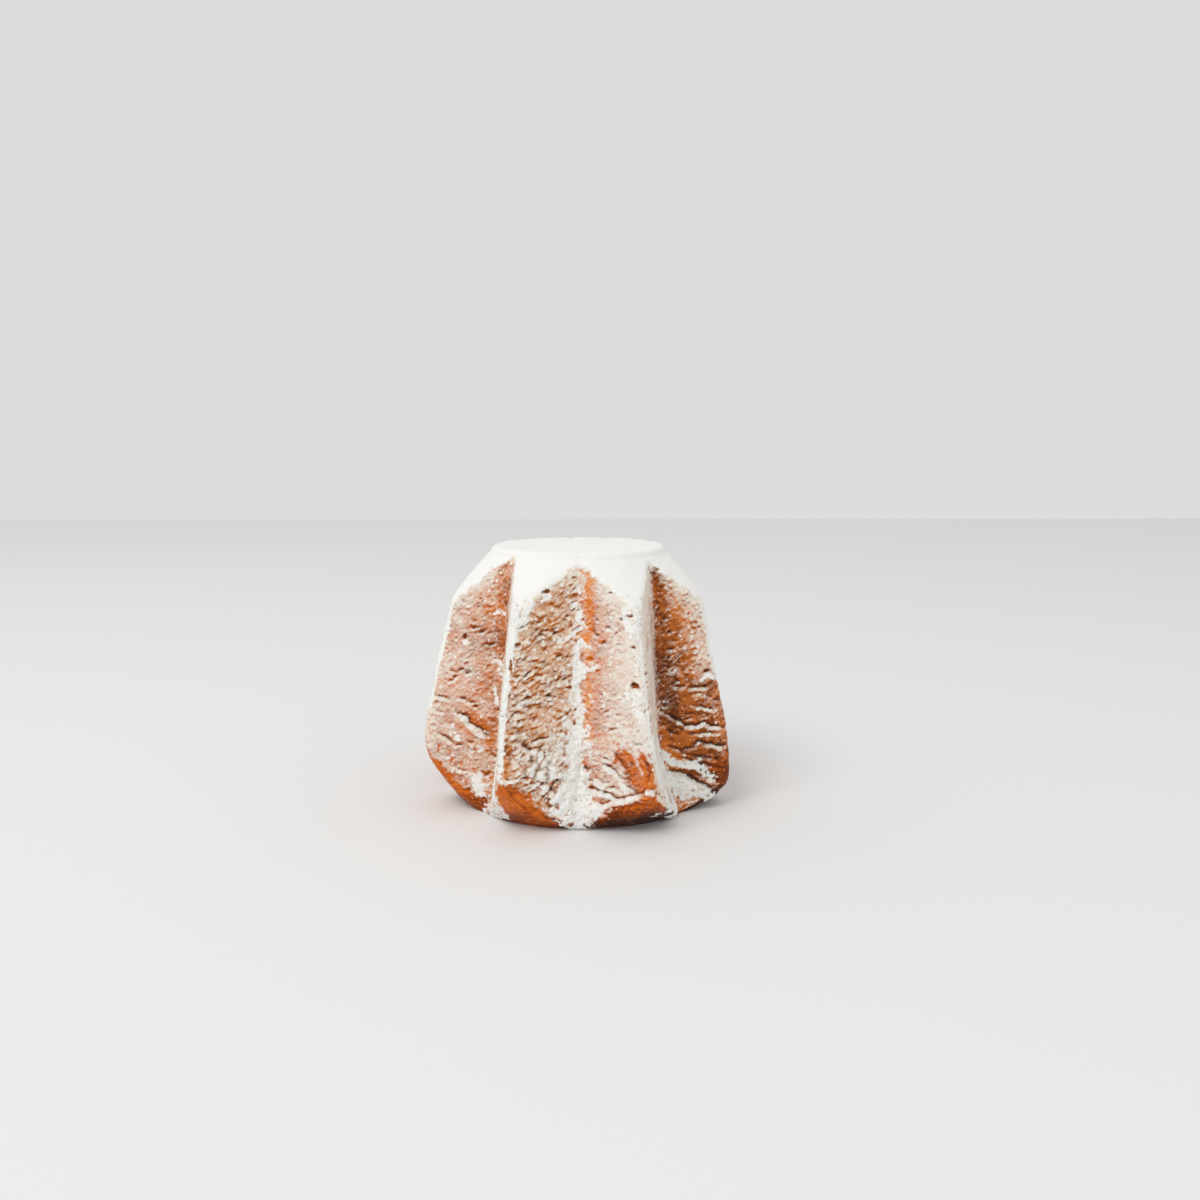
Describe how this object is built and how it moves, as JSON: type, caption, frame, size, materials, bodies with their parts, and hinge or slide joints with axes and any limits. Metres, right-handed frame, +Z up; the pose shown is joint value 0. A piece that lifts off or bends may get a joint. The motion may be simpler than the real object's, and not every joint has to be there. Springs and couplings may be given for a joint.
{
  "type": "pandoro",
  "caption": "Tall star-shaped fluted sweet loaf standing narrow end up, with a flat top, bevelled shoulders, a rounded heel and icing sugar dusted over its baked crust.",
  "frame": {"origin": "middle of the flat base the loaf stands on", "axes": "+Z up the loaf's axis from its wide base to its narrow top, -Y towards the front, +X to the right seen from the front"},
  "size_m": [0.2201, 0.213, 0.188],
  "materials": {
    "crust": "baked golden-brown crust, dusted with icing sugar",
    "icing_sugar": "matt white powder"
  },
  "bodies": {
    "root": {"pandoro": "crust"}
  },
  "joints": []
}
